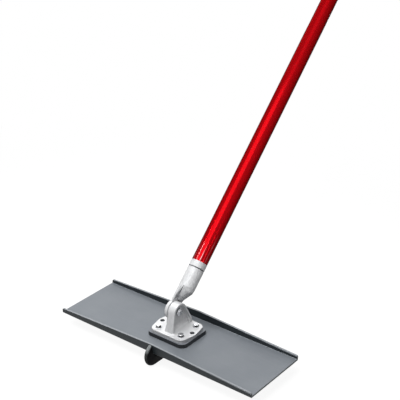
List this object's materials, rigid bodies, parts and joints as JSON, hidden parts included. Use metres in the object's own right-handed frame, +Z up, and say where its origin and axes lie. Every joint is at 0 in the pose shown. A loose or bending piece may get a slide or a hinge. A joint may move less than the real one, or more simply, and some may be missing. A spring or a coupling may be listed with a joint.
{
  "type": "concrete walking groover",
  "caption": "Long flat concrete groover with turned-up lips, a keel-shaped groove bit below, and a long red tube handle that tilts on a hooded cast swivel bracket.",
  "frame": {"origin": "middle of the blade's flat underside, which lies on the concrete", "axes": "+Z up; X along the blade; -Y is the front, and the handle leans back towards +Y"},
  "size_m": [0.635, 1.3288, 1.3061],
  "materials": {
    "blade_steel": "satin",
    "bit_iron": "satin",
    "pad_steel": "satin",
    "cast_aluminium": "satin",
    "zinc_steel": "gloss",
    "spring_steel": "satin",
    "red_tube": "gloss",
    "black_rubber": "matte"
  },
  "bodies": {
    "groover_head": {"blade": "blade_steel", "groove_bit": "bit_iron", "bit_screw_1": "zinc_steel", "bit_screw_2": "zinc_steel", "bit_screw_3": "zinc_steel", "mounting_pad": "pad_steel", "pad_screw_1": "zinc_steel", "pad_screw_2": "zinc_steel", "pad_screw_3": "zinc_steel", "pad_screw_4": "zinc_steel", "bracket_base": "cast_aluminium", "bracket_washer_1": "zinc_steel", "bracket_washer_2": "zinc_steel", "bracket_washer_3": "zinc_steel", "bracket_washer_4": "zinc_steel", "bracket_bolt_1": "zinc_steel", "bracket_bolt_2": "zinc_steel", "bracket_bolt_3": "zinc_steel", "bracket_bolt_4": "zinc_steel", "pivot_bolt": "zinc_steel", "pivot_washer": "zinc_steel", "pivot_lock_washer": "zinc_steel", "pivot_nut": "zinc_steel"},
    "handle": {"swivel_socket": "cast_aluminium", "handle_adapter": "cast_aluminium", "handle_tube": "red_tube", "end_cap": "black_rubber", "button_spring": "spring_steel"},
    "snap_button": {"snap_button": "zinc_steel"}
  },
  "joints": [
    {"name": "handle_tilt", "type": "hinge", "parent": "groover_head", "child": "handle", "pos_m": [0, 0, 0.077], "axis": [1, 0, 0], "range_deg": [-25, 105]},
    {"name": "button_press", "type": "slide", "parent": "handle", "child": "snap_button", "axis": [0.2924, -0.6715, 0.6809], "range_m": [0, 0.007], "stiffness_N_per_m": 1200, "springref_m": -0.003, "deforming": ["button_spring"]}
  ]
}
